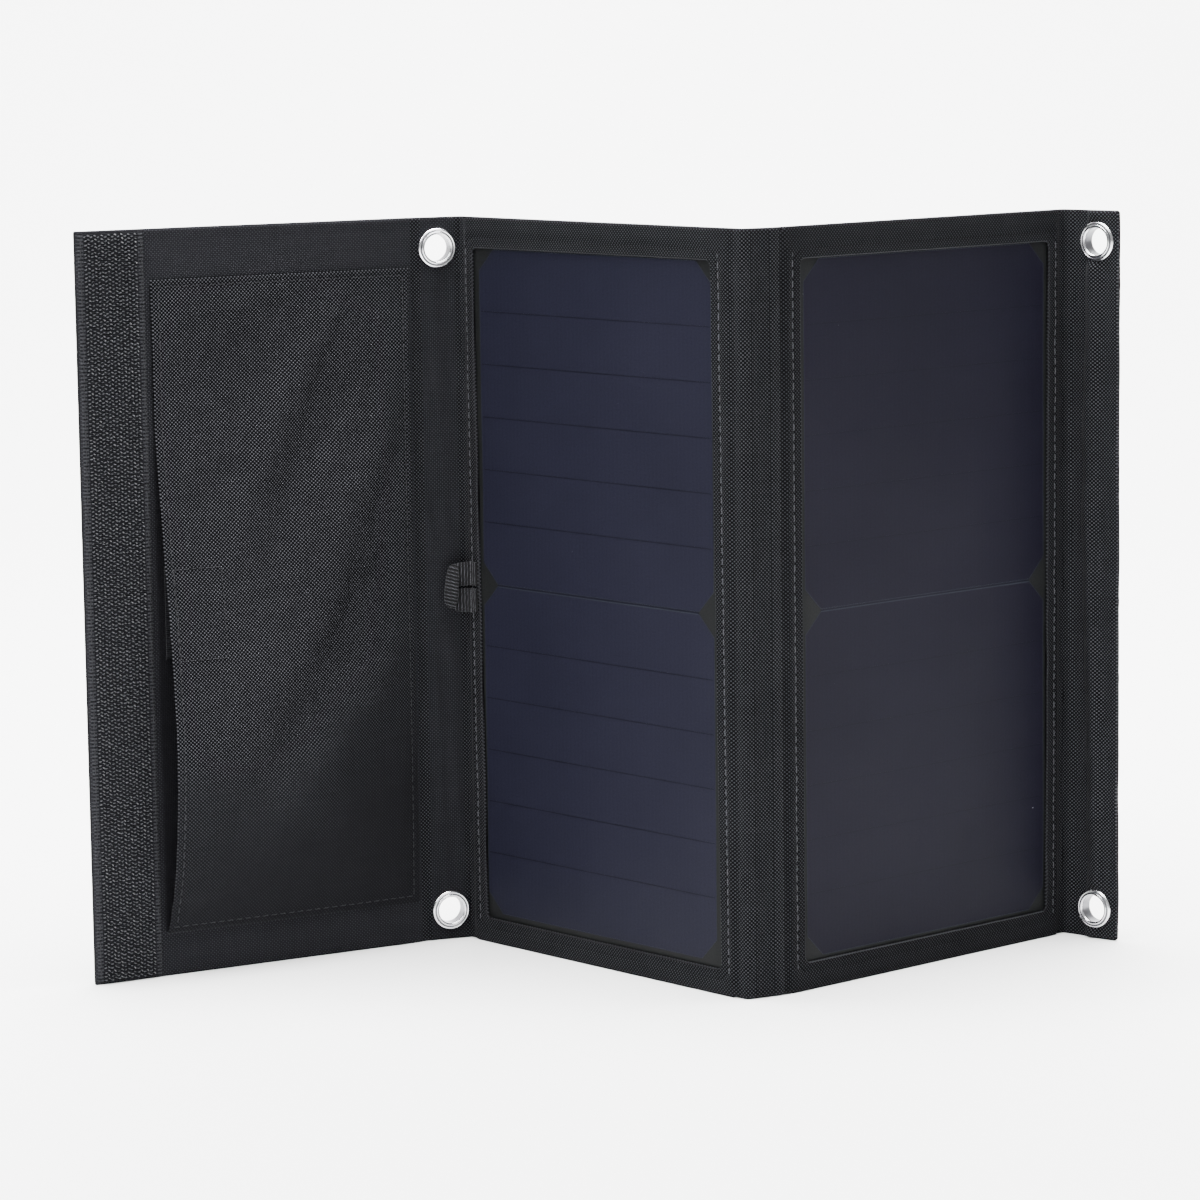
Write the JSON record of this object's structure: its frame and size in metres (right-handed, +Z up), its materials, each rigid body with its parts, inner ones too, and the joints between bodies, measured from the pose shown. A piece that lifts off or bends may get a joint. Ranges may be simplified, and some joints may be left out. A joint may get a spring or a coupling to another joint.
{
  "type": "folding solar panel",
  "caption": "Folding fabric solar charger: a pocket leaf with hook tape, an eyelet spine, solar leaves joined by a spine, and a flap with eyelets.",
  "frame": {"origin": "under the middle of the object's box, on the surface it stands on, with the leaves folded as in the rest pose", "axes": "+X along the row of leaves from the pocket leaf to the end flap, -Y to the front (cells and pocket), +Z up"},
  "size_m": [0.382, 0.1144, 0.275],
  "materials": {
    "black_oxford": "woven polyester, matte",
    "pocket_lining": "woven polyester, matte",
    "hook_tape": "hook-and-loop tape, rough",
    "loop_tape": "hook-and-loop tape, fuzzy",
    "webbing": "ribbed woven webbing",
    "clear_film": "satin textured PET",
    "cell": "satin, dark blue",
    "backing_board": "matte",
    "tinned_copper": "satin",
    "lead_jacket": "matte",
    "nickel_eyelet": "polished",
    "black_moulding": "fine texture",
    "circuit_board": "satin",
    "socket_shell": "satin"
  },
  "bodies": {
    "pocket_panel": {"pocket_panel_back_cover": "black_oxford", "pocket_panel_stiffener": "backing_board", "pocket_panel_front_lining": "pocket_lining", "closure_hook_tape": "hook_tape", "storage_pocket": "black_oxford", "pocket_hook_patch": "hook_tape", "pocket_loop_patch": "loop_tape", "charge_controller_case": "black_moulding", "charge_controller_lid": "black_moulding", "charge_controller_board": "circuit_board", "lower_usb_socket": "socket_shell", "upper_usb_socket": "socket_shell", "controller_lead": "lead_jacket"},
    "eyelet_spine": {"eyelet_spine_front_fabric": "black_oxford", "eyelet_spine_back_fabric": "black_oxford", "eyelet_spine_lead": "lead_jacket", "eyelet_spine_lower_eyelet": "nickel_eyelet", "eyelet_spine_lower_washer": "nickel_eyelet", "eyelet_spine_upper_eyelet": "nickel_eyelet", "eyelet_spine_upper_washer": "nickel_eyelet"},
    "webbing_loop": {"webbing_loop": "webbing"},
    "panel_1": {"panel_1_front_frame": "black_oxford", "panel_1_clear_film": "clear_film", "panel_1_upper_cell": "cell", "panel_1_lower_cell": "cell", "panel_1_bus_ribbon": "tinned_copper", "panel_1_backing_board": "backing_board", "panel_1_bypass_diode": "black_moulding", "panel_1_back_cover": "black_oxford", "panel_1_left_lead": "lead_jacket", "panel_1_right_lead": "lead_jacket"},
    "centre_spine": {"centre_spine_front_fabric": "black_oxford", "centre_spine_back_fabric": "black_oxford", "centre_spine_lead": "lead_jacket"},
    "panel_2": {"panel_2_front_frame": "black_oxford", "panel_2_clear_film": "clear_film", "panel_2_upper_cell": "cell", "panel_2_lower_cell": "cell", "panel_2_bus_ribbon": "tinned_copper", "panel_2_backing_board": "backing_board", "panel_2_bypass_diode": "black_moulding", "panel_2_back_cover": "black_oxford", "panel_2_left_lead": "lead_jacket", "closure_loop_tape": "loop_tape"},
    "end_flap": {"end_flap_front_fabric": "black_oxford", "end_flap_back_fabric": "black_oxford", "end_flap_lower_eyelet": "nickel_eyelet", "end_flap_lower_washer": "nickel_eyelet", "end_flap_upper_eyelet": "nickel_eyelet", "end_flap_upper_washer": "nickel_eyelet"}
  },
  "joints": [
    {"name": "spine_crease", "type": "hinge", "parent": "panel_1", "child": "eyelet_spine", "pos_m": [-0.05455, 0.05429, 0], "axis": [0, 0, 1], "range_deg": [-69, 21]},
    {"name": "pocket_crease", "type": "hinge", "parent": "eyelet_spine", "child": "pocket_panel", "pos_m": [-0.07098, 0.04798, 0], "axis": [0, 0, 1], "range_deg": [-29, 81]},
    {"name": "loop_swing", "type": "hinge", "parent": "panel_1", "child": "webbing_loop", "pos_m": [-0.05287, 0.04907, 0], "axis": [0, 0, 1], "range_deg": [-69, 21]},
    {"name": "centre_crease_left", "type": "hinge", "parent": "panel_1", "child": "centre_spine", "pos_m": [0.04761, -0.05558, 0], "axis": [0, 0, 1], "range_deg": [-121, 14]},
    {"name": "centre_crease_right", "type": "hinge", "parent": "centre_spine", "child": "panel_2", "pos_m": [0.05776, -0.05018, 0], "axis": [0, 0, 1], "range_deg": [-59, 76]},
    {"name": "flap_crease", "type": "hinge", "parent": "panel_2", "child": "end_flap", "pos_m": [0.17084, 0.04841, 0], "axis": [0, 0, 1], "range_deg": [-66, 104]}
  ],
  "couplings": [
    {"joint": "loop_swing", "follows": "spine_crease", "ratio": 1}
  ]
}
